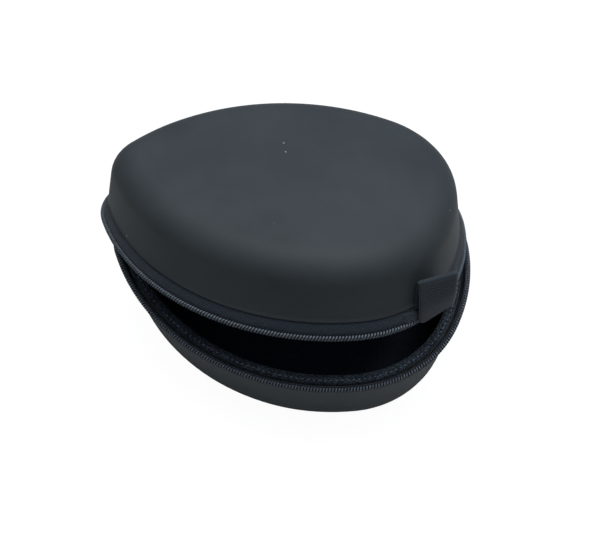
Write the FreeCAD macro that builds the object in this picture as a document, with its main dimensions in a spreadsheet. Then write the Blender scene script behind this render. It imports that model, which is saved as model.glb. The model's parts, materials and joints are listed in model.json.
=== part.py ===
"""Zippered hard case: two moulded shells on a cloth hinge, closed by a coil zipper round the rim.

Frame: origin on the flat bottom under the middle of the outline, +X to the wide end,
+Y to the hinge side, +Z up. Depths are counted from the parting plane between the halves,
insets from the outermost line of the zipper.
"""
import FreeCAD
import Part
import math
import os
import Sketcher
from FreeCAD import Placement, Rotation, Vector

doc = FreeCAD.newDocument("hard_case")

# Driving dimensions, in millimetres and degrees
SIZES = (
    # outline of the rim: radii of its arcs, and the normals where wide end and corner stop
    ("wide_radius", 92.0),
    ("corner_radius", 60.5),
    ("side_radius", 116.5),
    ("tip_radius", 26.0),
    ("least_tip_radius", 8.0),
    ("wide_angle", 15.0),
    ("corner_angle", 72.0),
    # the moulded halves
    ("base_height", 50.0),
    ("lid_height", 41.0),
    ("crown_rise", 2.4),
    ("base_lean_angle", 6.5),
    ("lid_lean_angle", 9.0),
    ("edge_radius", 16.0),
    ("skin_thickness", 0.8),
    ("foam_thickness", 3.4),
    ("lining_thickness", 0.6),
    ("shell_inset", 4.0),
    ("band_depth", 7.5),
    # zipper
    ("coil_inset", 0.2),
    ("coil_thickness", 2.0),
    ("coil_width", 2.6),
    ("coil_gap", 0.6),
    ("core_diameter", 0.9),
    ("tape_thickness", 0.8),
    ("tape_lap", 0.4),
    ("end_stop_length", 3.0),
    ("zipper_gap", 54.0),
    # binding round the inside of the rim
    ("binding_gap", 1.6),
    ("binding_drop", 0.8),
    ("binding_relief", 0.2),
    # cloth hinge
    ("hinge_along", 47.0),
    ("hinge_length", 43.0),
    ("hinge_offset", 5.0),
    ("hinge_thickness", 1.2),
    ("hinge_seam", 6.0),
    ("hinge_clearance", 0.3),
    ("lining_strip_thickness", 0.6),
    ("opening_angle", 14.6),
    ("lid_slip", 4.2),
    # slider and its pull
    ("slider_park", 9.1),
    ("slider_length", 10.0),
    ("slider_plate", 1.2),
    ("slider_below", 4.0),
    ("slider_above", 2.2),
    ("slider_web", 3.0),
    ("slider_clearance", 0.3),
    ("arch_length", 5.4),
    ("arch_width", 2.0),
    ("arch_thickness", 0.8),
    ("pull_pin", 0.9),
    ("pull_clearance", 0.35),
    ("pull_length", 16.0),
    ("pull_width", 5.0),
    ("pull_thickness", 1.0),
    # carrying loop
    ("loop_angle", -41.0),
    ("loop_turn_angle", -49.0),
    ("webbing_width", 20.0),
    ("webbing_thickness", 1.4),
    ("loop_top", 23.5),
    ("loop_bottom", 0.4),
    ("loop_gap", 3.4),
    ("loop_clearance", 0.3),
    ("bartack_width", 14.0),
    ("bartack_height", 1.5),
)

sheet = doc.addObject("Spreadsheet::Sheet", "sizes")
for row, (alias, number) in enumerate(SIZES, 1):
    sheet.set(f"A{row}", alias)
    sheet.set(f"B{row}", str(number))
    sheet.setAlias(f"B{row}", alias)
doc.recompute()


def size(alias):
    return float(getattr(sheet, alias))


# Outline: each arc starts where the one before it ends, with the same tangent
def solve_outline():
    wide, corner = size("wide_radius"), size("corner_radius")
    side, tip = size("side_radius"), size("tip_radius")
    wide_turn = math.radians(size("wide_angle"))
    side_turn = math.radians(size("corner_angle"))
    corner_ahead = (wide - corner) * math.cos(wide_turn)
    corner_y = (wide - corner) * math.sin(wide_turn)
    side_ahead = corner_ahead - (side - corner) * math.cos(side_turn)
    side_y = corner_y - (side - corner) * math.sin(side_turn)
    tip_turn = math.pi - math.asin(-side_y / (side - tip))
    tip_ahead = side_ahead + (side - tip) * math.cos(tip_turn)
    length = wide + tip - tip_ahead
    wide_x = length / 2 - wide
    return {
        "length": length,
        "wide_x": wide_x,
        "corner_x": wide_x + corner_ahead,
        "corner_y": corner_y,
        "side_x": wide_x + side_ahead,
        "side_y": side_y,
        "wide_turn": wide_turn,
        "side_turn": side_turn,
    }


RIM = solve_outline()


def outline_arcs(inset, tip_radius):
    """The seven arcs of the rim outline moved inward; the wide end is split on the X axis."""
    wide = size("wide_radius") - inset
    corner = size("corner_radius") - inset
    side = size("side_radius") - inset
    tip_turn = math.pi - math.asin(-RIM["side_y"] / (side - tip_radius))
    tip_x = RIM["side_x"] + (side - tip_radius) * math.cos(tip_turn)
    wide_turn, side_turn = RIM["wide_turn"], RIM["side_turn"]
    full = 2 * math.pi
    return [
        (RIM["wide_x"], 0, wide, 0, wide_turn),
        (RIM["corner_x"], RIM["corner_y"], corner, wide_turn, side_turn),
        (RIM["side_x"], RIM["side_y"], side, side_turn, tip_turn),
        (tip_x, 0, tip_radius, tip_turn, full - tip_turn),
        (RIM["side_x"], -RIM["side_y"], side, full - tip_turn, full - side_turn),
        (RIM["corner_x"], -RIM["corner_y"], corner, full - side_turn, full - wide_turn),
        (RIM["wide_x"], 0, wide, full - wide_turn, full),
    ]


def arc_edge(arc, height):
    centre_x, centre_y, radius, first, last = arc
    circle = Part.Circle(Vector(centre_x, centre_y, height), Vector(0, 0, 1), radius)
    return Part.ArcOfCircle(circle, first, last)


def outline_wire(inset, height):
    """A section of a shell: the tip keeps a round nose however far the outline moves in."""
    nose = size("tip_radius") - size("least_tip_radius")
    tip_radius = size("least_tip_radius") + nose * math.exp(-inset / nose)
    return Part.Wire([arc_edge(arc, height).toShape() for arc in outline_arcs(inset, tip_radius)])


# Derived places, kept beside the driving sizes
parting = size("base_height")
hinge_angle = size("corner_angle") + math.degrees(size("hinge_along") / size("side_radius"))
slider_angle = size("corner_angle") - math.degrees(size("slider_park") / size("corner_radius"))
gap_turn = size("zipper_gap") / 2 / size("side_radius")
wedge_reach = size("side_radius") + size("hinge_offset")
DERIVED = (
    ("length", RIM["length"]),
    ("wedge_x", wedge_reach * math.cos(gap_turn)),
    ("wedge_y", wedge_reach * math.sin(gap_turn)),
    ("stop_turn", math.degrees(size("end_stop_length") / size("side_radius"))),
    ("slider_turn", math.degrees(size("slider_length") / size("corner_radius"))),
    ("web_turn", math.degrees(size("slider_web") / size("corner_radius"))),
    ("arch_turn", math.degrees(size("arch_length") / size("corner_radius"))),
)
derived = doc.addObject("Spreadsheet::Sheet", "derived")
for row, (alias, number) in enumerate(DERIVED, 1):
    derived.set(f"A{row}", alias)
    derived.set(f"B{row}", repr(number))
    derived.setAlias(f"B{row}", alias)
doc.recompute()


def worth(expression):
    return float(sheet.evalExpression(expression))


def on_rim(centre_x, centre_y, radius, angle):
    """Local frame on the rim: X along the rim, Y outward, Z up from the parting plane."""
    turn = math.radians(angle)
    place = Vector(centre_x + radius * math.cos(turn), centre_y + radius * math.sin(turn), parting)
    return Placement(place, Rotation(Vector(0, 0, 1), angle - 90))


hinge_frame = on_rim(RIM["side_x"], RIM["side_y"], size("side_radius"), hinge_angle)
hinge_line = hinge_frame.Rotation.multVec(Vector(1, 0, 0))
hinge_out = hinge_frame.Rotation.multVec(Vector(0, 1, 0))
hinge_point = hinge_frame.Base + hinge_out * size("hinge_offset")
opened = Placement(Vector(), Rotation(-hinge_line, size("opening_angle")), hinge_point)
lid_place = Placement(-hinge_line * size("lid_slip"), Rotation()) * opened


# Building blocks shared by the pieces
def new_body(label):
    body = doc.addObject("PartDesign::Body", label)
    body.Label = label
    return body


def new_sketch(body, name, role, offset=None):
    sketch = body.newObject("Sketcher::SketchObject", name)
    plane = next(item for item in body.Origin.OriginFeatures if item.Role == role)
    sketch.AttachmentSupport = [(plane, "")]
    sketch.MapMode = "FlatFace"
    if offset is not None:
        sketch.AttachmentOffset = offset
    return sketch


def bind(sketch, constraint, expression):
    index = sketch.addConstraint(constraint)
    sketch.setExpression(f"Constraints[{index}]", expression)


def polygon(sketch, corners):
    """A closed polygon whose corners are pairs of expressions on the sheets."""
    places = [Vector(worth(across), worth(up), 0) for across, up in corners]
    first = sketch.GeometryCount
    count = len(corners)
    for index in range(count):
        sketch.addGeometry(Part.LineSegment(places[index], places[(index + 1) % count]), False)
    for index, (across, up) in enumerate(corners):
        line = first + index
        following = first + (index + 1) % count
        sketch.addConstraint(Sketcher.Constraint("Coincident", line, 2, following, 1))
        bind(sketch, Sketcher.Constraint("DistanceX", -1, 1, line, 1, places[index].x), across)
        bind(sketch, Sketcher.Constraint("DistanceY", -1, 1, line, 1, places[index].y), up)


def rectangle(sketch, left, right, low, high):
    polygon(sketch, [(left, low), (right, low), (right, high), (left, high)])


def rim_spine(body, name):
    """The rim outline at the parting plane, as tangent arcs."""
    level = Placement(Vector(0, 0, parting), Rotation())
    sketch = new_sketch(body, name, "XY_Plane", level)
    arcs = outline_arcs(0, size("tip_radius"))
    for arc in arcs:
        sketch.addGeometry(arc_edge(arc, 0), False)
    for index in range(len(arcs) - 1):
        sketch.addConstraint(Sketcher.Constraint("Tangent", index, 2, index + 1, 1))
    sketch.addConstraint(Sketcher.Constraint("Coincident", len(arcs) - 1, 2, 0, 1))
    radii = {0: "wide_radius", 1: "corner_radius", 2: "side_radius", 3: "tip_radius"}
    for index, alias in radii.items():
        bind(sketch, Sketcher.Constraint("Radius", index, size(alias)), f"sizes.{alias}")
    return sketch


def rim_ring(label, sign, corners, bore=None, gap=True):
    """A strip of constant section round the rim; sign is -1 below the parting plane, 1 above."""
    body = new_body(label)
    spine = rim_spine(body, f"{label}_spine")
    section = new_sketch(body, f"{label}_section", "XZ_Plane")
    level = "+" if sign > 0 else "-"
    places = [(f"derived.length / 2 - ({inset})", f"sizes.base_height {level} ({depth})")
              for inset, depth in corners]
    polygon(section, places)
    sweep(body, "PartDesign::AdditivePipe", f"{label}_pipe", section, spine)
    if bore is not None:
        hole = new_sketch(body, f"{label}_bore_section", "XZ_Plane")
        add_circle(hole, level, *bore)
        before = body.Shape.Volume
        sweep(body, "PartDesign::SubtractivePipe", f"{label}_bore", hole, spine)
        if body.Shape.Volume >= before:
            raise ValueError(f"{label}: the bore cuts nothing")
    if gap:
        cut_hinge_gap(body, label)
    return body


def sweep(body, kind, name, section, spine):
    pipe = body.newObject(kind, name)
    pipe.Profile = section
    pipe.Spine = (spine, [f"Edge{index + 1}" for index in range(7)])
    doc.recompute()


def add_circle(sketch, level, inset, depth, diameter):
    across = f"derived.length / 2 - ({inset})"
    up = f"sizes.base_height {level} ({depth})"
    centre = Vector(worth(across), worth(up), 0)
    radius = worth(f"({diameter}) / 2")
    index = sketch.GeometryCount
    sketch.addGeometry(Part.Circle(centre, Vector(0, 0, 1), radius), False)
    bind(sketch, Sketcher.Constraint("Radius", index, radius), f"({diameter}) / 2")
    bind(sketch, Sketcher.Constraint("DistanceX", -1, 1, index, 3, centre.x), across)
    bind(sketch, Sketcher.Constraint("DistanceY", -1, 1, index, 3, centre.y), up)


def cut_hinge_gap(body, label):
    """The zipper stops short of the cloth hinge: a wedge from the side arc's centre opens it."""
    place = Vector(RIM["side_x"], RIM["side_y"], 0)
    offset = Placement(place, Rotation(Vector(0, 0, 1), hinge_angle))
    sketch = new_sketch(body, f"{label}_gap", "XY_Plane", offset)
    polygon(sketch, [("0", "0"), ("derived.wedge_x", "-derived.wedge_y"),
                     ("derived.wedge_x", "derived.wedge_y")])
    before = body.Shape.Volume
    pocket = body.newObject("PartDesign::Pocket", f"{label}_gap_cut")
    pocket.Profile = sketch
    pocket.Type = "ThroughAll"
    pocket.Reversed = True
    doc.recompute()
    if body.Shape.Volume >= before:
        raise ValueError(f"{label}: the hinge gap cuts nothing")


# Moulded shells: a stack of sections from the rim band to the flat, skinned over
def shell_sections(height, lean, layer, rise):
    """Inset and depth of each section of the surface that lies a layer under the outside."""
    lean = math.radians(lean)
    start = size("shell_inset") + layer
    flat = height - layer
    radius = size("edge_radius") - layer
    corner = start + (flat - size("band_depth")) * math.tan(lean)
    centre = corner + radius * math.tan((math.pi / 2 - lean) / 2)
    level = flat - radius
    tangent = (centre - radius * math.cos(lean), level + radius * math.sin(lean))
    places = [(start, size("band_depth"))]
    wall_shares = (0.25, 0.5, 0.75, 0.9, 1.0)
    for share in wall_shares:
        inset = start + (tangent[0] - start) * share
        depth = size("band_depth") + (tangent[1] - size("band_depth")) * share
        places.append((inset, depth))
    edge_steps = 6
    for step in range(1, edge_steps + 1):
        turn = lean + (math.pi / 2 - lean) * step / edge_steps
        places.append((centre - radius * math.cos(turn), level + radius * math.sin(turn)))
    crown_shares = (0.07, 0.15, 0.26, 0.4, 0.58, 0.8)
    if rise > 0:
        for share in crown_shares:
            inset = centre + (size("corner_radius") - centre) * share
            places.append((inset, flat + rise * (1 - (1 - share) ** 2)))
    return places


def shell_form(name, sign, height, lean, layer, rise):
    wires = [outline_wire(inset, parting + sign * depth)
             for inset, depth in shell_sections(height, lean, layer, rise)]
    form = doc.addObject("Part::Feature", name)
    form.Shape = Part.makeLoft(wires, True, False)
    return form


def shell_layers(half, sign, height, lean, rise):
    """Skin, foam and lining, each the room between two nested forms."""
    layers = ("skin_thickness", "foam_thickness", "lining_thickness")
    depths = [0]
    for alias in layers:
        depths.append(depths[-1] + size(alias))
    forms = [shell_form(f"{half}_form_{index}", sign, height, lean, depth, rise)
             for index, depth in enumerate(depths)]
    pieces = []
    for index, piece in enumerate(("outer_skin", "foam_shell", "lining")):
        cut = doc.addObject("Part::Cut", f"{half}_{piece}")
        cut.Label = f"{half}_{piece}"
        cut.Base = forms[index]
        cut.Tool = forms[index + 1]
        pieces.append(cut)
    return pieces


# Zipper and binding of one half
COIL_END = "sizes.coil_inset + sizes.coil_thickness"
COIL_TOP = "sizes.coil_gap + sizes.coil_width"
TAPE_FOOT = "sizes.shell_inset + sizes.tape_lap"
WALL_END = "sizes.shell_inset + sizes.skin_thickness + sizes.foam_thickness + sizes.lining_thickness"
BORE = ("sizes.coil_inset + sizes.coil_thickness / 2", "sizes.coil_gap + sizes.coil_width / 2",
        "sizes.core_diameter")
BINDING_START = f"{COIL_END} + sizes.tape_thickness + sizes.binding_gap"


def rim_pieces(half, sign):
    coil = rim_ring(
        f"{half}_zipper_coil", sign,
        [("sizes.coil_inset", "sizes.coil_gap"), (COIL_END, "sizes.coil_gap"),
         (COIL_END, COIL_TOP), ("sizes.coil_inset", COIL_TOP)],
        bore=BORE)
    tape = rim_ring(
        f"{half}_zipper_tape", sign,
        [(COIL_END, "sizes.coil_gap"), (f"{COIL_END} + sizes.tape_thickness", "sizes.coil_gap"),
         (f"{COIL_END} + sizes.tape_thickness", COIL_TOP),
         (f"{TAPE_FOOT} + sizes.tape_thickness", "sizes.band_depth"),
         (TAPE_FOOT, "sizes.band_depth"), (COIL_END, COIL_TOP)])
    binding = rim_ring(
        f"{half}_rim_binding", sign,
        [(BINDING_START, "sizes.binding_drop"), (WALL_END, "sizes.binding_drop"),
         (WALL_END, "sizes.band_depth"),
         (f"{TAPE_FOOT} + sizes.tape_thickness + sizes.binding_relief", "sizes.band_depth"),
         (BINDING_START, "sizes.band_depth - sizes.binding_gap")], gap=False)
    pieces = [coil, tape, binding, coil_core(half, sign)]
    for name, ahead in (("left_stop", 1), ("right_stop", -1)):
        pieces.append(end_stop(f"{half}_{name}", sign, ahead))
    return pieces


def coil_core(half, sign):
    """The filler cord that runs inside the coil."""
    label = f"{half}_coil_core"
    body = new_body(label)
    spine = rim_spine(body, f"{label}_spine")
    section = new_sketch(body, f"{label}_section", "XZ_Plane")
    add_circle(section, "+" if sign > 0 else "-", *BORE)
    sweep(body, "PartDesign::AdditivePipe", f"{label}_pipe", section, spine)
    cut_hinge_gap(body, label)
    return body


def end_stop(label, sign, ahead):
    """The whipped end of the coil, inside the last few millimetres of the hinge gap."""
    body = new_body(label)
    section = new_sketch(body, f"{label}_section", "XZ_Plane")
    level = "" if sign > 0 else "-"
    rectangle(section, f"sizes.side_radius - ({COIL_END})", "sizes.side_radius - sizes.coil_inset",
              f"{level}(sizes.coil_gap)", f"{level}({COIL_TOP})")
    turned = body.newObject("PartDesign::Revolution", f"{label}_turn")
    turned.Profile = section
    turned.ReferenceAxis = (section, ["V_Axis"])
    turned.setExpression("Angle", "derived.stop_turn")
    turned.Reversed = ahead > 0
    gap = math.degrees(gap_turn)
    place = Vector(RIM["side_x"], RIM["side_y"], parting)
    body.Placement = Placement(place, Rotation(Vector(0, 0, 1), hinge_angle + ahead * gap))
    doc.recompute()
    return body


# Cloth hinge, drawn in the hinge frame at the photographed opening
def hinge_strip(label, path, thickness):
    """A band along the hinge line; the path gives its mid line as outward and upward places."""
    body = new_body(label)
    section = new_sketch(body, f"{label}_section", "YZ_Plane")
    half = thickness / 2
    sides = ([], [])
    for index, (across, up) in enumerate(path):
        before = path[max(index - 1, 0)]
        after = path[min(index + 1, len(path) - 1)]
        along = Vector(after[0] - before[0], after[1] - before[1], 0).normalize()
        sides[0].append(Vector(across - along.y * half, up + along.x * half, 0))
        sides[1].append(Vector(across + along.y * half, up - along.x * half, 0))
    loop = sides[0] + sides[1][::-1]
    for index, place in enumerate(loop):
        section.addGeometry(Part.LineSegment(place, loop[(index + 1) % len(loop)]), False)
    for index in range(len(loop)):
        following = (index + 1) % len(loop)
        section.addConstraint(Sketcher.Constraint("Coincident", index, 2, following, 1))
    pad = body.newObject("PartDesign::Pad", f"{label}_pad")
    pad.Profile = section
    pad.SideType = "Symmetric"
    pad.setExpression("Length", "sizes.hinge_length")
    body.Placement = hinge_frame
    doc.recompute()
    return body


def on_lid(across, up):
    """Where a place of the closed lid, in the hinge frame, stands when the lid is ajar."""
    turn = math.radians(size("opening_angle"))
    out = across - size("hinge_offset")
    return (size("hinge_offset") + out * math.cos(turn) + up * math.sin(turn),
            -out * math.sin(turn) + up * math.cos(turn))


def hinge_strips():
    half = size("hinge_thickness") / 2
    seam = size("shell_inset") - size("hinge_clearance") - half
    band = size("band_depth")
    low = [(-seam, -band - size("hinge_seam")), (-seam, -band)]
    bow = (half, 0)
    high = [on_lid(-seam, band), on_lid(-seam, band + size("hinge_seam"))]
    outer = hinge_strip("hinge_outer_strip", low + [bow] + high, size("hinge_thickness"))
    inner_half = size("lining_strip_thickness") / 2
    curve = size("side_radius") - worth(WALL_END)
    end = size("hinge_length") / 2 + size("lid_slip")
    sag = curve - math.sqrt(curve**2 - end**2)
    inside = worth(WALL_END) + sag + size("hinge_clearance") + inner_half
    low = [(-inside, -band), (-inside, -size("binding_drop"))]
    high = [on_lid(-inside, size("binding_drop")), on_lid(-inside, band)]
    inner = hinge_strip("hinge_lining_strip", low + high, size("lining_strip_thickness"))
    return [outer, inner]


# Slider: two plates joined by a web between the coils, with an arch for the pull
def slider_place():
    place = Vector(RIM["corner_x"], RIM["corner_y"], parting)
    return Placement(place, Rotation(Vector(0, 0, 1), slider_angle))


def turned_block(body, name, edges, span):
    section = new_sketch(body, f"{name}_section", "XZ_Plane")
    rectangle(section, *edges)
    block = body.newObject("PartDesign::Revolution", name)
    block.Profile = section
    block.ReferenceAxis = (section, ["V_Axis"])
    block.Midplane = True
    block.setExpression("Angle", span)
    return block


OUTER_FACE = "sizes.corner_radius - sizes.coil_inset + 2 * sizes.slider_clearance"
PLATE_FACE = f"{OUTER_FACE} + sizes.slider_plate"
TAPE_BACK = f"sizes.corner_radius - ({COIL_END} + sizes.tape_thickness)"
EYE = "sizes.pull_pin + 2 * sizes.pull_clearance"


def slider_body():
    body = new_body("slider_body")
    turned_block(body, "outer_plate",
                 (OUTER_FACE, PLATE_FACE, "-sizes.slider_below", "sizes.slider_above"),
                 "derived.slider_turn")
    inner_high = f"{TAPE_BACK} - sizes.slider_clearance"
    inner_low = f"sizes.corner_radius - ({BINDING_START}) + sizes.slider_clearance"
    turned_block(body, "web", (inner_low, OUTER_FACE, "-sizes.slider_clearance",
                               "sizes.slider_clearance"), "derived.web_turn")
    turned_block(body, "inner_plate",
                 (inner_low, inner_high, f"-({COIL_TOP})", "sizes.slider_clearance"),
                 "derived.slider_turn")
    turned_block(body, "arch",
                 (PLATE_FACE, f"{PLATE_FACE} + {EYE} + sizes.arch_thickness",
                  "-sizes.arch_width / 2", "sizes.arch_width / 2"), "derived.arch_turn")
    doc.recompute()
    before = body.Shape.Volume
    window = new_sketch(body, "arch_window", "XY_Plane")
    rectangle(window, f"{PLATE_FACE} - sizes.pull_clearance / 2", f"{PLATE_FACE} + {EYE}",
              "-(sizes.arch_length / 2 - 1.5 * sizes.arch_thickness)",
              f"sizes.arch_length / 2 - 1.5 * sizes.arch_thickness")
    pocket = body.newObject("PartDesign::Pocket", "arch_window_cut")
    pocket.Profile = window
    pocket.SideType = "Symmetric"
    pocket.setExpression("Length", "2 * sizes.arch_width")
    doc.recompute()
    if body.Shape.Volume >= before:
        raise ValueError("slider_body: the arch stays closed")
    body.Placement = slider_place()
    return body


def slider_pull():
    """The pull lies along the rim, its end bar through the arch."""
    body = new_body("slider_pull")
    plate = new_sketch(body, "pull_plate", "XZ_Plane")
    rectangle(plate, "-sizes.pull_pin / 2", "sizes.pull_length",
              "-sizes.pull_width / 2", "sizes.pull_width / 2")
    rectangle(plate, "sizes.pull_pin / 2",
              "sizes.arch_length / 2 + 2 * sizes.pull_clearance",
              "-(sizes.arch_width / 2 + sizes.slider_clearance)",
              "sizes.arch_width / 2 + sizes.slider_clearance")
    pad = body.newObject("PartDesign::Pad", "pull_plate_pad")
    pad.Profile = plate
    pad.SideType = "Symmetric"
    pad.setExpression("Length", "sizes.pull_thickness")
    pivot = Vector(worth(f"{PLATE_FACE} + ({EYE}) / 2"), 0, 0)
    turn = Placement(pivot, Rotation(Vector(0, 0, 1), -90))
    body.Placement = slider_place() * turn
    doc.recompute()
    return body


# Carrying loop: webbing folded over, caught in the lid's seam
def loop_place():
    reach = math.radians(size("loop_angle"))
    radius = size("corner_radius")
    place = Vector(RIM["corner_x"] + radius * math.cos(reach),
                   -RIM["corner_y"] + radius * math.sin(reach), parting)
    return Placement(place, Rotation(Vector(0, 0, 1), size("loop_turn_angle") - 90))


def loop_pieces():
    """Side view of the loop in its own frame: Y outward from the rim, Z up."""
    body = new_body("carry_loop")
    side = new_sketch(body, "carry_loop_side", "YZ_Plane")
    thick = size("webbing_thickness")
    back = -size("shell_inset") + size("loop_clearance")
    front = back + size("loop_gap") + 2 * thick
    middle = (back + front) / 2
    bend = (front - back) / 2
    shoulder = size("loop_top") - bend
    root = size("band_depth") + size("loop_clearance")
    foot = size("loop_bottom")
    centre = Vector(middle, shoulder, 0)
    out = Part.Circle(centre, Vector(0, 0, 1), bend)
    inner = Part.Circle(centre, Vector(0, 0, 1), bend - thick)
    edges = [
        Part.LineSegment(Vector(front, foot, 0), Vector(front, shoulder, 0)),
        Part.ArcOfCircle(out, 0, math.pi),
        Part.LineSegment(Vector(back, shoulder, 0), Vector(back, root, 0)),
        Part.LineSegment(Vector(back, root, 0), Vector(back + thick, root, 0)),
        Part.LineSegment(Vector(back + thick, root, 0), Vector(back + thick, shoulder, 0)),
        Part.ArcOfCircle(inner, 0, math.pi),
        Part.LineSegment(Vector(front - thick, shoulder, 0), Vector(front - thick, foot, 0)),
        Part.LineSegment(Vector(front - thick, foot, 0), Vector(front, foot, 0)),
    ]
    for edge in edges:
        side.addGeometry(edge, False)
    joins = ((0, 2, 1, 1), (1, 2, 2, 1), (2, 2, 3, 1), (3, 2, 4, 1),
             (4, 2, 5, 2), (5, 1, 6, 1), (6, 2, 7, 1), (7, 2, 0, 1))
    for join in joins:
        side.addConstraint(Sketcher.Constraint("Coincident", *join))
    pad = body.newObject("PartDesign::Pad", "carry_loop_pad")
    pad.Profile = side
    pad.setExpression("Length", "sizes.webbing_width")
    pad.Reversed = True
    body.Placement = lid_place * loop_place()
    bar = doc.addObject("Part::Box", "carry_loop_bartack")
    bar.Label = "carry_loop_bartack"
    bar.setExpression("Length", "sizes.bartack_width")
    bar.setExpression("Width", "sizes.loop_gap")
    bar.setExpression("Height", "sizes.bartack_height")
    margin = (size("webbing_width") - size("bartack_width")) / 2
    corner = Vector(margin - size("webbing_width"), back + thick, root)
    doc.recompute()
    bar.Placement = lid_place * loop_place() * Placement(corner, Rotation())
    return [body, bar]


pieces = []
pieces += shell_layers("base", -1, size("base_height"), size("base_lean_angle"), 0)
pieces += rim_pieces("base", -1)
lid_pieces = shell_layers("lid", 1, size("lid_height"), size("lid_lean_angle"), size("crown_rise"))
lid_pieces += rim_pieces("lid", 1)
doc.recompute()
for piece in lid_pieces:
    piece.Placement = lid_place * piece.Placement
pieces += lid_pieces
pieces += hinge_strips()
pieces += [slider_body(), slider_pull()]
pieces += loop_pieces()
doc.recompute()

for item in doc.Objects:
    if "Invalid" in item.State or "Error" in item.State:
        raise ValueError(f"{item.Label}: {item.State}")
for piece in pieces:
    if piece.Shape.isNull() or not piece.Shape.isValid():
        raise ValueError(f"{piece.Label}: bad shape")

os.makedirs("parts", exist_ok=True)
for piece in pieces:
    piece.Shape.exportStep(os.path.join("parts", f"{piece.Label}.step"))
    box = piece.Shape.BoundBox
    print(f"{piece.Label:22s} {piece.Shape.Volume:10.1f} mm3  {len(piece.Shape.Solids)} solid"
          f"  z {box.ZMin:6.1f} to {box.ZMax:6.1f}")
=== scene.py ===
import functools
import json
import math
import bmesh
import bpy
from mathutils import Matrix, Vector, noise


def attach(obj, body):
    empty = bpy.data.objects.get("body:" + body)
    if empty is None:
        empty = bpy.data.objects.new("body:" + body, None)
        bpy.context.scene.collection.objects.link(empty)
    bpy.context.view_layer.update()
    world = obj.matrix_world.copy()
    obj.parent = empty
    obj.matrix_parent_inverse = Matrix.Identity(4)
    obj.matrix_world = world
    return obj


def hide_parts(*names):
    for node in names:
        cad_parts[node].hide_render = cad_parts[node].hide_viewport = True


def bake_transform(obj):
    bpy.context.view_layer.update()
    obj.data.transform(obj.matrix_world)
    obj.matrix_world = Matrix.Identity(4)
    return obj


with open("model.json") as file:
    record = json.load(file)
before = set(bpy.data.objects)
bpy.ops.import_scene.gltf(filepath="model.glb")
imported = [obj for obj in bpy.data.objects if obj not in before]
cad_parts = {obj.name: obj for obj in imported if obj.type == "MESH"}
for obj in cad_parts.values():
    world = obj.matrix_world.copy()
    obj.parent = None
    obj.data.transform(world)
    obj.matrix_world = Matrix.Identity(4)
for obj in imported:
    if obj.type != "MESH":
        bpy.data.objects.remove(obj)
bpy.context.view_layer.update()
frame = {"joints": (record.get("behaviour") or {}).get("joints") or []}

# Studio
# A pale floor under soft light from above, and the camera that looks down on the case
# from the front right. Nothing here belongs to the case.
CAMERA_PLACE = Vector((0.08452, -0.36139, 0.63195))
CAMERA_AIM = Vector((0.00465, 0.00359, 0.03))
CAMERA_ROLL = math.radians(-0.8)
CAMERA_LENS = 81.86
CAMERA_SENSOR = 36.0
CAMERA_NEAR = 0.01
LAMP_PLACE = Vector((0.05, 0.22, 1.25))
LAMP_AIM = Vector((0, 0, 0.05))
LAMP_SIZE = (1.3, 1.0)
LAMP_POWER = 13.5
ROOM_WAY = (0.05, 0.56, 0.83)
ROOM_TURN = 0.1
ROOM_DARK = 0.025
ROOM_LIGHT = 0.5
ROOM_SEEN = 1.04
ROOM_COLOUR = (0.74, 0.88, 1.0, 1)
WHITE = (1, 1, 1, 1)
FLOOR_SIZE = 3.0
NEAR_FLOOR = (0.95, 0.95, 0.95)
FAR_FLOOR = (0.12, 0.12, 0.12)
NEAR_REACH = 0.2
FAR_REACH = 0.45
PAPER_ROUGHNESS = 0.9
PAPER_SPECULAR = 0.1
PAPER_WHITE = 0.9
PAPER_GLOW = 1.07
MIX_SHARE, MIX_FIRST, MIX_SECOND, MIX_RESULT = 0, 6, 7, 2
VECTOR_RANGE = (7, 8, 9, 10)
VECTOR_VALUE = 6


def new_object(name, data):
    piece = bpy.data.objects.new(name, data)
    bpy.context.scene.collection.objects.link(piece)
    return piece


def aim(piece, place, target, roll=0.0):
    look = (target - place).to_track_quat("-Z", "Y").to_matrix().to_4x4()
    piece.matrix_world = Matrix.Translation(place) @ look @ Matrix.Rotation(roll, 4, "Z")


class Graph:
    """A node tree with short ways to add nodes. A term is a node and one of its outputs."""

    def __init__(self, tree):
        self.tree = tree

    def add(self, kind, **values):
        node = self.tree.nodes.new(kind)
        for key, value in values.items():
            if hasattr(node, key):
                setattr(node, key, value)
            else:
                node.inputs[key.replace("_", " ")].default_value = value
        return node

    def join(self, term, target, socket):
        node, output = term
        self.tree.links.new(node.outputs[output], target.inputs[socket])

    def number(self, operation, *terms):
        """A maths node over terms and plain numbers."""
        node = self.add("ShaderNodeMath", operation=operation)
        for socket, term in enumerate(terms):
            if isinstance(term, tuple):
                self.join(term, node, socket)
            else:
                node.inputs[socket].default_value = term
        return node, "Value"

    def between(self, term, **values):
        """A term mapped from one range to another, 0 to 1 where nothing is said."""
        node = self.add("ShaderNodeMapRange", **values)
        self.join(term, node, "Value")
        return node, "Result"

    def ramp(self, term, low, high, first=0.0, last=1.0):
        """The colours from low to high that a term picks between first and last."""
        node = self.add("ShaderNodeValToRGB")
        for element, position, colour in zip(node.color_ramp.elements, (first, last), (low, high)):
            element.position = position
            element.color = colour
        self.join(term, node, "Fac")
        return node, "Color"

    def painted(self, term, share, colour):
        """A colour term with another colour laid over it by a share."""
        node = self.add("ShaderNodeMix", data_type="RGBA")
        node.inputs[MIX_SECOND].default_value = colour
        self.join(share, node, MIX_SHARE)
        self.join(term, node, MIX_FIRST)
        return node, MIX_RESULT


camera = new_object("camera", bpy.data.cameras.new("camera"))
camera.data.lens = CAMERA_LENS
camera.data.sensor_width = CAMERA_SENSOR
camera.data.clip_start = CAMERA_NEAR
aim(camera, CAMERA_PLACE, CAMERA_AIM, CAMERA_ROLL)
bpy.context.scene.camera = camera

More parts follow.
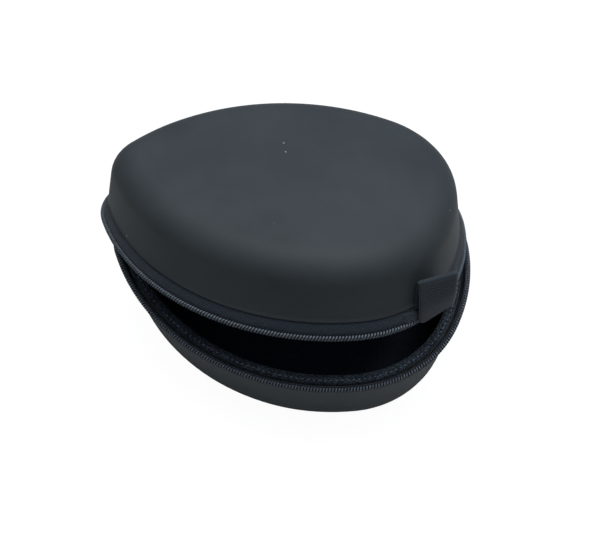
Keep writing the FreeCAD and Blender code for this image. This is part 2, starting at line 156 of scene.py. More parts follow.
lamp = bpy.data.lights.new("top_softbox", "AREA")
lamp.shape = "RECTANGLE"
lamp.size, lamp.size_y = LAMP_SIZE
lamp.energy = LAMP_POWER
aim(new_object("top_softbox", lamp), LAMP_PLACE, LAMP_AIM)

world = bpy.data.worlds.new("studio")
bpy.context.scene.world = world
world.use_nodes = True
sky = world.node_tree.nodes["Background"]
graph = Graph(world.node_tree)
camera_ray = (graph.add("ShaderNodeLightPath"), "Is Camera Ray")
backward = graph.add("ShaderNodeVectorMath", operation="DOT_PRODUCT")
backward.inputs[1].default_value = ROOM_WAY
graph.join((graph.add("ShaderNodeTexCoord"), "Generated"), backward, 0)
room = graph.between((backward, "Value"), From_Min=ROOM_TURN, To_Min=ROOM_DARK, To_Max=ROOM_LIGHT)
seen = graph.between(camera_ray, To_Max=ROOM_SEEN)
graph.join(room, seen[0], "To Min")
tint = graph.add("ShaderNodeMix", data_type="RGBA")
tint.inputs[MIX_FIRST].default_value = ROOM_COLOUR
tint.inputs[MIX_SECOND].default_value = WHITE
graph.join(camera_ray, tint, MIX_SHARE)
graph.join((tint, MIX_RESULT), sky, "Color")
graph.join(seen, sky, "Strength")

floor_mesh = bpy.data.meshes.new("floor")
half_floor = FLOOR_SIZE / 2
floor_mesh.from_pydata(
    [(-half_floor, -half_floor, 0), (half_floor, -half_floor, 0),
     (half_floor, half_floor, 0), (-half_floor, half_floor, 0)], [], [(0, 1, 2, 3)])
floor = new_object("floor", floor_mesh)
paper = bpy.data.materials.new("floor_paper")
paper.use_nodes = True
paper_shader = paper.node_tree.nodes["Principled BSDF"]
paper_shader.inputs["Roughness"].default_value = PAPER_ROUGHNESS
paper_shader.inputs["Specular IOR Level"].default_value = PAPER_SPECULAR
graph = Graph(paper.node_tree)
reach = graph.add("ShaderNodeVectorMath", operation="LENGTH")
graph.join((graph.add("ShaderNodeTexCoord"), "Object"), reach, 0)
fade = graph.add("ShaderNodeMapRange", data_type="FLOAT_VECTOR")
for socket, value in zip(VECTOR_RANGE, ((NEAR_REACH,) * 3, (FAR_REACH,) * 3, NEAR_FLOOR, FAR_FLOOR)):
    fade.inputs[socket].default_value = value
graph.join((reach, "Value"), fade, VECTOR_VALUE)
graph.join((fade, "Vector"), paper_shader, "Base Color")
glow = graph.add("ShaderNodeEmission", Strength=PAPER_GLOW)
camera_ray = (graph.add("ShaderNodeLightPath"), "Is Camera Ray")
paper_mix = graph.add("ShaderNodeMixShader")
graph.join(graph.between(camera_ray, To_Max=PAPER_WHITE), paper_mix, 0)
graph.join((paper_shader, "BSDF"), paper_mix, 1)
graph.join((glow, "Emission"), paper_mix, 2)
graph.join((paper_mix, "Shader"), paper.node_tree.nodes["Material Output"], "Surface")
floor_mesh.materials.append(paper)
bpy.context.scene.view_settings.view_transform = "Standard"

# Rim line
# The outermost line of the zipper, tangent arcs that both halves share. Every strip round
# the rim is placed by its distance along it, its inset, and its depth from the parting.
MM = 0.001
WIDE_RADIUS = 92 * MM
CORNER_RADIUS = 60.5 * MM
SIDE_RADIUS = 116.5 * MM
TIP_RADIUS = 26 * MM
LEAST_TIP_RADIUS = 8 * MM
WIDE_TURN = math.radians(15)
SIDE_TURN = math.radians(72)
LID_SLIP = 4.2 * MM
lid_joint = next(joint for joint in frame["joints"] if joint["name"] == "lid_hinge")
HINGE_POINT = Vector(lid_joint["pos_m"])
HINGE_LINE = Vector(lid_joint["axis"]).normalized()
HINGE_NORMAL = math.degrees(math.atan2(-HINGE_LINE.x, HINGE_LINE.y))
LID_OPENING = math.radians(-lid_joint["range_deg"][0])
PARTING = HINGE_POINT.z
LID = (Matrix.Translation(HINGE_LINE * LID_SLIP) @ Matrix.Translation(HINGE_POINT)
       @ Matrix.Rotation(LID_OPENING, 4, HINGE_LINE) @ Matrix.Translation(-HINGE_POINT))


def towards(turn):
    return Vector((math.cos(turn), math.sin(turn)))


corner_from_wide = (WIDE_RADIUS - CORNER_RADIUS) * towards(WIDE_TURN)
side_from_wide = corner_from_wide - (SIDE_RADIUS - CORNER_RADIUS) * towards(SIDE_TURN)
tip_turn = math.pi - math.asin(-side_from_wide.y / (SIDE_RADIUS - TIP_RADIUS))
tip_ahead = side_from_wide.x + (SIDE_RADIUS - TIP_RADIUS) * math.cos(tip_turn)
WIDE = Vector(((TIP_RADIUS - tip_ahead - WIDE_RADIUS) / 2, 0))
CORNER = WIDE + corner_from_wide
SIDE = WIDE + side_from_wide
MIRROR = Vector((1, -1))


def rim_arcs(inset, tip_radius):
    """Seven arcs, anticlockwise from the wide end: centre, radius, first and last normal."""
    side = SIDE_RADIUS - inset
    tip_turn = math.pi - math.asin(-SIDE.y / (side - tip_radius))
    tip = Vector((SIDE.x + (side - tip_radius) * math.cos(tip_turn), 0))
    corner = CORNER_RADIUS - inset
    wide = WIDE_RADIUS - inset
    full = 2 * math.pi
    return [
        (WIDE, wide, 0, WIDE_TURN),
        (CORNER, corner, WIDE_TURN, SIDE_TURN),
        (SIDE, side, SIDE_TURN, tip_turn),
        (tip, tip_radius, tip_turn, full - tip_turn),
        (SIDE * MIRROR, side, full - tip_turn, full - SIDE_TURN),
        (CORNER * MIRROR, corner, full - SIDE_TURN, full - WIDE_TURN),
        (WIDE, wide, full - WIDE_TURN, full),
    ]


RIM_ARCS = rim_arcs(0, TIP_RADIUS)
RIM_LENGTH = sum(radius * (last - first) for _, radius, first, last in RIM_ARCS)


@functools.lru_cache(maxsize=None)
def rim_at(distance):
    """The place and outward normal of the rim at a distance from the wide end."""
    left = distance % RIM_LENGTH
    for centre, radius, first, last in RIM_ARCS:
        span = radius * (last - first)
        if left <= span:
            break
        left -= span
    out = towards(first + left / radius)
    return centre + radius * out, out


def rim_distance(normal_degrees):
    """How far along the rim its outward normal has turned to an angle."""
    turn = math.radians(normal_degrees % 360)
    along = 0.0
    for _, radius, first, last in RIM_ARCS:
        if turn <= last:
            return along + radius * (turn - first)
        along += radius * (last - first)
    return along


HALVES = {"base": (-1, Matrix.Identity(4)), "lid": (1, LID)}


def on_rim(half, distance, inset, depth):
    sign, place = HALVES[half]
    spot, out = rim_at(distance)
    spot = spot - inset * out
    return place @ Vector((spot.x, spot.y, PARTING + sign * depth))


# Outer skins
# Matte synthetic leather, moulded with the foam under it: straight drafted walls, a large
# soft edge and a nearly flat top. Its lower edge is rolled over the seam of the zipper tape.
BASE_HEIGHT = 50 * MM
LID_HEIGHT = 41 * MM
BASE_LEAN = math.radians(6.5)
LID_LEAN = math.radians(9)
EDGE_RADIUS = 16 * MM
CROWN_RISE = 2.4 * MM
CROWN_SHARE = 0.8
SHELL_INSET = 4.0 * MM
BAND_DEPTH = 7.5 * MM
SKIN = 0.8 * MM
LIP = 1.1 * MM
LIP_SHARE = 0.9
LIP_TURNS = (math.pi / 2, 1.2, 0.8, 0.4, 0.1)
SEAM_DEPTH = 8.4 * MM
MOULD_RIPPLE = 0.12 * MM
RIPPLE_RATE = 38
WALL_STEPS, EDGE_STEPS, CROWN_STEPS = 9, 12, 12
ARC_POINTS = (10, 24, 30, 26, 30, 24, 10)
CAP_SHARES = (0.75, 0.5, 0.25, 0.06)
CAP_RISE_SHARE = 0.04
SHELL_SIZES = {
    "base": (BASE_HEIGHT, BASE_LEAN, 0.0),
    "lid": (LID_HEIGHT, LID_LEAN, CROWN_RISE),
}


def shell_profile(half, layer):
    """Inset and depth of the surface a layer under the outside, from the rim edge to the flat."""
    height, lean, rise = SHELL_SIZES[half]
    start = SHELL_INSET + layer
    flat = height - layer
    radius = EDGE_RADIUS - layer
    corner = start + (flat - BAND_DEPTH) * math.tan(lean)
    centre = corner + radius * math.tan((math.pi / 2 - lean) / 2)
    level = flat - radius
    end = (centre - radius * math.cos(lean), level + radius * math.sin(lean))
    places = []
    for step in range(WALL_STEPS):
        share = step / WALL_STEPS
        places.append((start + (end[0] - start) * share,
                       BAND_DEPTH + (end[1] - BAND_DEPTH) * share))
    for step in range(EDGE_STEPS + 1):
        turn = lean + (math.pi / 2 - lean) * step / EDGE_STEPS
        places.append((centre - radius * math.cos(turn), level + radius * math.sin(turn)))
    last = centre + (CORNER_RADIUS - centre) * CROWN_SHARE
    for step in range(1, CROWN_STEPS + 1):
        share = step / CROWN_STEPS
        inset = centre + (last - centre) * share
        places.append((inset, flat + rise * (1 - (1 - CROWN_SHARE * share) ** 2)))
    return places


def ring_points(inset):
    """The rim's line at an inset. The radius of the tip closes in on its least."""
    nose = TIP_RADIUS - LEAST_TIP_RADIUS
    tip_radius = LEAST_TIP_RADIUS + nose * math.exp(-inset / nose)
    points = []
    for (centre, radius, first, last), count in zip(rim_arcs(inset, tip_radius), ARC_POINTS):
        for step in range(count):
            points.append(centre + radius * towards(first + (last - first) * step / count))
    return points


def shell_mesh(name, half, outer, inner):
    """A closed shell between two profiles that both run from the rim to the middle."""
    sign, place = HALVES[half]
    rings = []
    for profile in (outer[::-1], inner):
        for inset, depth in profile:
            rings.append([(spot.x, spot.y, depth) for spot in ring_points(inset)])
    middle = Vector((sum(x for x, _, _ in rings[0]) / len(rings[0]), 0))
    cap_rise = SHELL_SIZES[half][2] * CAP_RISE_SHARE
    caps = []
    for ring in (rings[0], rings[-1]):
        caps.append([[(middle.x + (x - middle.x) * share, middle.y + (y - middle.y) * share,
                       depth + cap_rise * (1 - share * share)) for x, y, depth in ring]
                     for share in CAP_SHARES])
    rings = caps[0][::-1] + rings + caps[1]
    count = len(rings[0])
    points = [place @ Vector((x, y, PARTING + sign * depth)) for ring in rings for x, y, depth in ring]
    faces = []
    for ring in range(len(rings) - 1):
        for step in range(count):
            a, b = ring * count + step, ring * count + (step + 1) % count
            faces.append((a, b, b + count, a + count))
    faces.append(tuple(range(count))[::-1])
    faces.append(tuple(range((len(rings) - 1) * count, len(rings) * count)))
    if sign < 0:
        faces = [face[::-1] for face in faces]
    mesh = bpy.data.meshes.new(name)
    mesh.from_pydata(points, [], faces)
    mesh.shade_smooth()
    return mesh


def srgb(red, green, blue):
    """A colour given as it looks on a screen, from 0 to 255, as the shader wants it."""
    return tuple(((part / 255 + 0.055) / 1.055) ** 2.4 for part in (red, green, blue)) + (1.0,)


def material(name, colour, roughness, specular):
    """A material with its graph and its shader."""
    made = bpy.data.materials.new(name)
    made.use_nodes = True
    graph = Graph(made.node_tree)
    shader = made.node_tree.nodes["Principled BSDF"]
    shader.inputs["Base Color"].default_value = colour
    shader.inputs["Roughness"].default_value = roughness
    shader.inputs["Specular IOR Level"].default_value = specular
    return made, graph, shader


def texture(graph, place, kind, output, **values):
    """A texture read at a place, as a term."""
    node = graph.add("ShaderNodeTex" + kind, **values)
    graph.join(place, node, "Vector")
    return node, output


def object_place(graph):
    return graph.add("ShaderNodeTexCoord"), "Object"


def add_relief(graph, shader, height, strength, distance):
    bump = graph.add("ShaderNodeBump", Strength=strength, Distance=distance)
    graph.join(height, bump, "Height")
    graph.join((bump, "Normal"), shader, "Normal")


def leather_material():
    made, graph, shader = material("case_leather", srgb(62, 67, 71), 0.6, 0.2)
    place = object_place(graph)
    grain = texture(graph, place, "Voronoi", "Distance", Scale=2300.0)
    pores = texture(graph, place, "Noise", "Fac", Scale=5200.0, Detail=3.0)
    cloud = texture(graph, place, "Noise", "Fac", Scale=22.0, Detail=4.0, Roughness=0.6)
    tone = graph.ramp(cloud, srgb(55, 60, 64), srgb(64, 69, 73), 0.3, 0.72)
    dust = texture(graph, place, "Voronoi", "Distance", Scale=75.0)
    speck = graph.between(dust, From_Min=0.042, From_Max=0.02)
    shade = graph.add("ShaderNodeSeparateColor")
    graph.join((dust[0], "Color"), shade, "Color")
    rare = graph.number("GREATER_THAN", (shade, "Red"), 0.4)
    faint = graph.number("MULTIPLY", graph.number("MULTIPLY", speck, rare), 0.8)
    graph.join(graph.painted(tone, faint, srgb(170, 172, 172)), shader, "Base Color")
    graph.join(graph.between(cloud, To_Min=0.54, To_Max=0.66), shader, "Roughness")
    add_relief(graph, shader, graph.number("ADD", grain, pores), 0.16, 0.12 * MM)
    return made


def finish_piece(piece, body, paint, stands_for=()):
    piece.data.materials.append(paint)
    if stands_for:
        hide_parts(*stands_for)
    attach(piece, body)


leather = leather_material()
for half in HALVES:
    outside = shell_profile(half, 0.0)
    inside = shell_profile(half, SKIN)
    lip = [(SHELL_INSET + LIP * (1 - math.cos(turn)) * LIP_SHARE, SEAM_DEPTH + LIP * (1 - math.sin(turn)))
           for turn in LIP_TURNS]
    body_start = [place for place in outside if place[1] > SEAM_DEPTH + LIP]
    inner_start = [place for place in inside if place[1] > SEAM_DEPTH + LIP]
    mesh = shell_mesh(f"{half}_skin", half, lip + body_start, inner_start)
    for vertex in mesh.vertices:
        vertex.co += MOULD_RIPPLE * noise.noise(vertex.co * RIPPLE_RATE) * vertex.normal
        vertex.co.z = max(vertex.co.z, 0.0)
    finish_piece(new_object(f"{half}_skin", mesh), half, leather,
                 (f"{half}_outer_skin",))

# Foam shells
# Closed-cell foam pressed to shape, 3.4 mm thick, glued between the skin and the lining. The
# tape and the binding cover its edge all round the rim.
FOAM = 3.4 * MM
GLUE_LINE = 0.05 * MM


def foam_material():
    made, graph, shader = material("closed_cell_foam", srgb(44, 46, 49), 0.85, 0.25)
    cells = texture(graph, object_place(graph), "Voronoi", "Distance", Scale=2600.0)
    graph.join(graph.ramp(cells, srgb(34, 36, 39), srgb(52, 54, 57)), shader, "Base Color")
    add_relief(graph, shader, cells, 0.3, 0.1 * MM)
    return made


foam = foam_material()
for half in HALVES:
    outside = shell_profile(half, SKIN + GLUE_LINE)
    inside = shell_profile(half, SKIN + FOAM - GLUE_LINE)
    mesh = shell_mesh(f"{half}_foam", half, outside, inside)
    finish_piece(new_object(f"{half}_foam", mesh), half, foam,
                 (f"{half}_foam_shell",))

# Linings
# A thin dark knit glued inside the foam, stretched smooth in the mould. It runs up the wall to
# the binding of the rim.
LINING = 0.6 * MM


def knit_material(name, low, high, loop, roughness):
    """A weft knit: rows of small loops with a blotchy tone that differs at random, a painted highlight on
    their crowns and painted shade between them.
    """
    made, graph, shader = material(name, high, roughness, 0.2)
    place = object_place(graph)
    loops = texture(graph, place, "Voronoi", "Distance", Scale=1 / loop)
    fuzz = texture(graph, place, "Noise", "Fac", Scale=3.4 / loop, Detail=2.0)
    cloud = texture(graph, place, "Noise", "Fac", Scale=60.0, Detail=3.0)
    crowns = graph.number("SUBTRACT", 1.0, loops)
    height = graph.number("MULTIPLY_ADD", fuzz, 0.35, crowns)
    blotch = graph.number("MULTIPLY_ADD", cloud, 0.4, height)
    share = graph.number("MULTIPLY", blotch, 0.7)
    # Painted highlight and shade: the colour rises with the height of the loops, on top of a random
    # blotchy tone.
    graph.join(graph.ramp(share, low, high, 0.55, 0.95), shader, "Base Color")
    shader.inputs["Sheen Weight"].default_value = 0.12
    shader.inputs["Sheen Roughness"].default_value = 0.5
    add_relief(graph, shader, height, 0.6, 0.3 * loop)
    return made


lining = knit_material("lining_knit", srgb(32, 39, 50), srgb(60, 69, 83), 0.55 * MM, 0.9)
for half in HALVES:
    outside = shell_profile(half, SKIN + FOAM)
    inside = shell_profile(half, SKIN + FOAM + LINING)
    mesh = shell_mesh(f"{half}_knit_lining", half, outside, inside)
    finish_piece(new_object(f"{half}_knit_lining", mesh), half, lining,
                 (f"{half}_lining",))

# Zipper tapes
# Woven polyester tape, 0.8 mm thick, one to each half. It hangs from the seam under the rolled
# edge of the skin, leans out a little, and carries the coil along its free edge.
ZIPPER_GAP = 54 * MM
ZIPPER_START = rim_distance(HINGE_NORMAL) + ZIPPER_GAP / 2
ZIPPER_END = ZIPPER_START + RIM_LENGTH - ZIPPER_GAP
TAPE_THICKNESS = 0.8 * MM
TAPE_SPACING = 2 * MM
TAPE_FACE = ((1.95, 0.75), (1.88, 1.6), (1.88, 2.6), (1.8, 3.4), (1.85, 4.4), (2.15, 5.4),
             (2.75, 6.4), (3.55, 7.4), (4.3, 8.3), (4.75, 9.0))
TAPE_HELD = 2.6 * MM
TAPE_RISE = 2 * MM
TAPE_FREE = 4 * MM
TAPE_EASE = 0.16 * MM
TAPE_NOISE = (90, 60, 3.1)
WAVE_RATE = 20


def ringed_mesh(name, rings, closed=False):
    """A skin over a row of equal rings, with a map that runs along the row and round the ring."""
    count = len(rings[0])
    total = len(rings)
    faces, spans = [], []
    along = [0.0]
    for ring, after in zip(rings, rings[1:] + rings[:1]):
        along.append(along[-1] + (after[0] - ring[0]).length)
    around = [0.0]
    for spot, after in zip(rings[0], rings[0][1:] + rings[0][:1]):
        around.append(around[-1] + (after - spot).length)
    for ring in range(total if closed else total - 1):
        start, after = ring * count, (ring + 1) % total * count
        for step in range(count):
            beside = (step + 1) % count
            faces.append((start + step, start + beside, after + beside, after + step))
            spans.append(((along[ring], around[step]), (along[ring], around[step + 1]),
                          (along[ring + 1], around[step + 1]), (along[ring + 1], around[step])))
    if not closed:
        for ring, order in ((0, range(count - 1, -1, -1)), (total - 1, range(count))):
            faces.append(tuple(ring * count + step for step in order))
            spans.append(tuple((along[ring], around[step]) for step in order))
    mesh = bpy.data.meshes.new(name)
    mesh.from_pydata([spot for ring in rings for spot in ring], [], faces)
    strip_map = mesh.uv_layers.new(name="strip")
    strip_map.data.foreach_set("uv", [part for span in spans for pair in span for part in pair])
    mesh.shade_smooth()
    if sum(face.center.dot(face.normal) * face.area for face in mesh.polygons) < 0:
        mesh.flip_normals()
    return mesh


def rim_strip(name, half, section, first, last, spacing, sway=None):
    """One closed section carried along the rim; sway moves its points a little on the way."""
    closed = last - first > RIM_LENGTH - MM
    count = max(2, round((last - first) / spacing))
    rings = []
    for step in range(count if closed else count + 1):
        distance = first + (last - first) * step / count
        ring = []
        for inset, depth in section:
            if sway is not None:
                inset, depth = sway(distance, inset, depth)
            ring.append(on_rim(half, distance, inset, depth))
        rings.append(ring)
    return ringed_mesh(name, rings, closed)


def in_mm(pairs):
    return [(first * MM, second * MM) for first, second in pairs]


def waver(x, y, z):
    """A smooth wander between -1 and 1 over places."""
    return noise.noise(Vector((x, y, z)))


def tape_sway(distance, inset, depth):
    """The tape wavers a little between its two sewn edges."""
    along, across, seed = TAPE_NOISE
    loose = max(0.0, min(1.0, (depth - TAPE_HELD) / TAPE_RISE))
    loose *= max(0.0, 1 - (depth - TAPE_FREE) / TAPE_FREE)
    return inset + loose * TAPE_EASE * waver(distance * along, depth * across, seed), depth


def wave_scale(pitch):
    """The scale at which a wave texture repeats once in a pitch."""
    return 2 * math.pi / (WAVE_RATE * pitch)


def strip_places(graph, slant):
    """The strip's own map, and the same turned by an angle."""
    straight = (graph.add("ShaderNodeUVMap", uv_map="strip"), "UV")
    turned = graph.add("ShaderNodeMapping", Rotation=(0, 0, math.radians(slant)))
    graph.join(straight, turned, "Vector")
    return straight, (turned, "Vector")


def woven_material(name, low, high, yarn, slant, roughness, depth=0.35):
    """Two sets of yarns on the strip's own map, one of them on a slant. The colour follows their relief: a
    painted highlight on the raised yarns and painted shade between them.
    """
    made, graph, shader = material(name, high, roughness, 0.22)
    straight, turned = strip_places(graph, slant)
    scale = wave_scale(yarn)
    ribs = texture(graph, turned, "Wave", "Fac", Scale=scale, Distortion=1.6, Detail=2.0, Detail_Scale=2.0)
    yarns = texture(graph, straight, "Wave", "Fac", bands_direction="Y", Scale=scale * 1.7, Distortion=0.4)
    fuzz = texture(graph, straight, "Noise", "Fac", Scale=0.9 / yarn, Detail=4.0, Roughness=0.65)
    height = graph.number("ADD", graph.number("MULTIPLY", ribs, yarns), fuzz)
    share = graph.number("MULTIPLY", height, 0.6)
    # Painted highlight and shade: the base colour is lighter where the yarns stand high and darker in the
    # hollows between them.
    graph.join(graph.ramp(share, low, high, 0.18, 0.8), shader, "Base Color")
    shader.inputs["Sheen Weight"].default_value = 0.15
    shader.inputs["Sheen Roughness"].default_value = 0.45
    add_relief(graph, shader, height, 0.7, depth * yarn)
    return made


tape_section = in_mm(TAPE_FACE)
tape_section += [(inset + TAPE_THICKNESS, depth) for inset, depth in tape_section[::-1]]
tape_weave = woven_material("zipper_tape_weave", srgb(20, 26, 34), srgb(66, 76, 88),
                            0.9 * MM, 42, 0.85, 0.5)
for half in HALVES:
    mesh = rim_strip(f"{half}_tape", half, tape_section, ZIPPER_START, ZIPPER_END, TAPE_SPACING, tape_sway)
    finish_piece(new_object(f"{half}_tape", mesh), half, tape_weave,
                 (f"{half}_zipper_tape",))

# Zipper coils
# One nylon thread to each half, wound into flat turns 1.5 mm apart whose heads stand at the
# parting. A filler cord runs inside, and two lines of sewing hold the turns to the tape.
COIL_PITCH = 1.5 * MM
COIL_STEPS = 14
COIL_MIDDLE = (1.2 * MM, 1.9 * MM)
COIL_REACH = (0.68 * MM, 0.98 * MM)
COIL_SQUARENESS = 0.75
COIL_THREAD = 0.36 * MM
COIL_HEAD = 0.06 * MM
COIL_SIDES = 6
COIL_SLANT = 0.18 * MM
CORE_REACH = (0.6 * MM, 0.85 * MM)
CORE_SIDES = 12
CORE_SPACING = 3 * MM
SEWING_LINES = (1.5 * MM, 2.35 * MM)
SEWING_STEPS = 3
SEWING_INSET = (0.16, 0.28)
SEWING_BACK = 2 * MM
SEWING_RADIUS = 0.13 * MM
SEWING_SIDES = 4


def squared(turn):
    return math.copysign(abs(turn) ** COIL_SQUARENESS, turn)


def tube_mesh(name, places, radii, upright, sides):
    """A round tube through places; upright gives a direction beside the run at each one."""
    rings = []
    for index, spot in enumerate(places):
        ahead = places[min(index + 1, len(places) - 1)] - places[max(index - 1, 0)]
        ahead.normalize()
        side = upright[index] - ahead * upright[index].dot(ahead)
        side.normalize()
        beside = ahead.cross(side)
        ring = []
        for step in range(sides):
            turn = 2 * math.pi * step / sides
            ring.append(spot + radii[index] * (math.cos(turn) * side + math.sin(turn) * beside))
        rings.append(ring)
    return ringed_mesh(name, rings)


def coil_mesh(name, half):
    places, radii, upright = [], [], []
    steps = int((ZIPPER_END - ZIPPER_START) / COIL_PITCH * COIL_STEPS)
    for step in range(steps + 1):
        turn = 2 * math.pi * step / COIL_STEPS
        distance = ZIPPER_START + COIL_PITCH * step / COIL_STEPS
        distance -= COIL_SLANT * math.sin(turn) * HALVES[half][0]
        across, up = squared(math.cos(turn)), -squared(math.sin(turn)) * HALVES[half][0]
        spot = on_rim(half, distance, COIL_MIDDLE[0] + COIL_REACH[0] * across,
                      COIL_MIDDLE[1] + COIL_REACH[1] * up)
        core = on_rim(half, distance, *COIL_MIDDLE)
        places.append(spot)
        upright.append((spot - core).normalized())
        radii.append(COIL_THREAD + COIL_HEAD * math.sin(turn) ** 6)
    return tube_mesh(name, places, radii, upright, COIL_SIDES)


def coil_sewing(name, half, depth):
    """A line of stitches over the legs of the coil, dipping between them."""
    places, upright = [], []
    steps = int((ZIPPER_END - ZIPPER_START) / COIL_PITCH * SEWING_STEPS)
    for step in range(steps + 1):
        distance = ZIPPER_START + COIL_PITCH * step / SEWING_STEPS
        dip = 0.5 - 0.5 * math.cos(2 * math.pi * (step / SEWING_STEPS - 0.5))
        inset = (SEWING_INSET[0] + SEWING_INSET[1] * dip) * MM
        places.append(on_rim(half, distance, inset, depth))
        upright.append(places[-1] - on_rim(half, distance, SEWING_BACK, depth))
    return tube_mesh(name, places, [SEWING_RADIUS] * len(places), upright, SEWING_SIDES)


def nylon_material():
    made, graph, shader = material("coil_nylon", srgb(48, 52, 57), 0.34, 0.5)
    streak = texture(graph, object_place(graph), "Noise", "Fac", Scale=900.0, Detail=2.0)
    tone = graph.ramp(streak, srgb(92, 102, 114), srgb(124, 133, 143), 0.3, 0.7)
    graph.join(tone, shader, "Base Color")
    graph.join(graph.between(streak, To_Min=0.28, To_Max=0.42), shader, "Roughness")
    return made


def thread_material(name, low, high, pitch):
    """Two-ply thread: fine slanting turns along it."""
    made, graph, shader = material(name, high, 0.7, 0.3)
    _, turned = strip_places(graph, 40)
    plies = texture(graph, turned, "Wave", "Fac", Scale=wave_scale(pitch))
    graph.join(graph.ramp(plies, low, high), shader, "Base Color")
    add_relief(graph, shader, plies, 0.5, 0.3 * pitch)
    return made


nylon = nylon_material()
core_yarn = thread_material("filler_cord_yarn", srgb(12, 14, 18), srgb(22, 25, 30), 0.5 * MM)
sewing_thread = thread_material("sewing_thread", srgb(30, 35, 42), srgb(62, 69, 77), 0.35 * MM)
core_section = []
for side in range(CORE_SIDES):
    turn = 2 * math.pi * side / CORE_SIDES
    core_section.append((COIL_MIDDLE[0] + CORE_REACH[0] * math.cos(turn),
                         COIL_MIDDLE[1] + CORE_REACH[1] * math.sin(turn)))
for half in HALVES:
    finish_piece(new_object(f"{half}_coil", coil_mesh(f"{half}_coil", half)), half, nylon,
                 (f"{half}_zipper_coil",))
    mesh = rim_strip(f"{half}_filler_cord", half, core_section, ZIPPER_START, ZIPPER_END, CORE_SPACING)
    finish_piece(new_object(f"{half}_filler_cord", mesh), half, core_yarn,
                 (f"{half}_coil_core",))
    for number, depth in enumerate(SEWING_LINES, 1):
        name = f"{half}_coil_sewing_{number}"
        finish_piece(new_object(name, coil_sewing(name, half, depth)), half, sewing_thread)

# End stops
# The last turns of each coil are melted into a small nylon block beside the hinge, so that the
# slider can't run off. Their edges are rounded by the heat.
STOP_ROUNDING = 0.45 * MM
ROUNDING_STEPS = 3


def dress_solid(node, paint, rounding):
    """A solid of the frame in its own paint, with rounded edges."""
    piece = bpy.data.objects[node]
    piece.data.materials.clear()
    piece.data.materials.append(paint)
    edge = piece.modifiers.new("rounded_edge", "BEVEL")
    edge.width = rounding
    edge.segments = ROUNDING_STEPS


for node in ("base_left_stop", "base_right_stop", "lid_left_stop", "lid_right_stop"):
    dress_solid(node, nylon, STOP_ROUNDING)

# Rim bindings
# A folded band of dark knit that covers the edge of the foam, with a rounded top. It is sewn down
# by one line of grey stitches that press a shallow row of dimples into it.
BINDING_FACE = ((4.6, 5.9), (4.6, 4.6), (4.6, 3.4), (4.6, 2.4), (4.72, 1.7), (5.05, 1.15),
                (5.5, 0.88), (5.8, 0.8), (6.1, 0.8), (6.4, 0.8), (6.9, 0.8), (7.6, 0.82),
                (8.4, 1.0), (9.0, 1.4), (9.4, 2.1), (9.5, 3.0), (9.4, 4.2), (9.1, 5.8),
                (8.8, 7.5), (7.1, 7.5), (5.4, 7.5))
BINDING_SOFT = 3 * MM
BINDING_EASE = 0.12 * MM
BINDING_NOISE = (120, 300, 7.7)
DIMPLE_WIDTH = 0.7 * MM
DIMPLE_DEPTHS = (0.14, 0.16)
STITCH_LINE = 6.0 * MM
STITCH_PITCH = 2.9 * MM
STITCH_LENGTH = 1.3 * MM
STITCH_RADIUS = 0.3 * MM
STITCH_DEPTH = 0.86 * MM
STITCH_WANDER = 0.12 * MM
STITCH_NOISE = (0.77, 500, 1.3)
STITCH_SIDES = 6
STITCH_PROFILE = ((-0.5, 0.35, 0.16), (-0.34, 0.85, 0.05), (0.0, 1.0, 0.0),
                  (0.34, 0.85, 0.05), (0.5, 0.35, 0.16))
stitch_count = round(RIM_LENGTH / STITCH_PITCH)
stitch_step = RIM_LENGTH / stitch_count


def binding_sway(distance, inset, depth):
    """Each stitch presses a dimple into the top of the binding, which is a little uneven."""
    if depth > BINDING_SOFT:
        return inset, depth
    pull = 0.5 + 0.5 * math.cos(2 * math.pi * distance / stitch_step)
    close = math.exp(-((inset - STITCH_LINE) / DIMPLE_WIDTH) ** 2)
    along, across, seed = BINDING_NOISE
    loose = BINDING_EASE * waver(distance * along, inset * across, seed)
    return inset, depth + close * (DIMPLE_DEPTHS[0] + DIMPLE_DEPTHS[1] * pull) * MM + abs(loose)


def stitch_mesh(name, half):
    """Short lengths of thread along the rim, each sunk at its ends."""
    points, faces, spans = [], [], []
    along, across, seed = STITCH_NOISE
    for number in range(stitch_count):
        begin = len(points)
        line = STITCH_LINE + STITCH_WANDER * waver(number * along, STITCH_LINE * across, seed)
        for share, fullness, sink in STITCH_PROFILE:
            distance = number * stitch_step + share * STITCH_LENGTH
            for side in range(STITCH_SIDES):
                turn = 2 * math.pi * side / STITCH_SIDES
                points.append(on_rim(half, distance,
                                     line + STITCH_RADIUS * fullness * math.cos(turn),
                                     STITCH_DEPTH + sink * MM + STITCH_RADIUS * fullness * math.sin(turn)))
        for ring, (first, last) in enumerate(zip(STITCH_PROFILE, STITCH_PROFILE[1:])):
            low, high = first[0] * STITCH_LENGTH, last[0] * STITCH_LENGTH
            corner = begin + ring * STITCH_SIDES
            for side in range(STITCH_SIDES):
                beside = (side + 1) % STITCH_SIDES
                faces.append((corner + side, corner + beside,
                              corner + STITCH_SIDES + beside, corner + STITCH_SIDES + side))
                left = side * STITCH_RADIUS
                right = left + STITCH_RADIUS
                spans += [(low, left), (low, right), (high, right), (high, left)]
        for start in (begin, len(points) - STITCH_SIDES):
            faces.append(tuple(start + side for side in range(STITCH_SIDES)))
            spans += [(0.0, 0.0)] * STITCH_SIDES
    mesh = bpy.data.meshes.new(name)
    mesh.from_pydata(points, [], faces)
    strip_map = mesh.uv_layers.new(name="strip")
    strip_map.data.foreach_set("uv", [part for pair in spans for part in pair])
    facing = bmesh.new()
    facing.from_mesh(mesh)
    bmesh.ops.recalc_face_normals(facing, faces=facing.faces)
    facing.to_mesh(mesh)
    facing.free()
    mesh.shade_smooth()
    return mesh


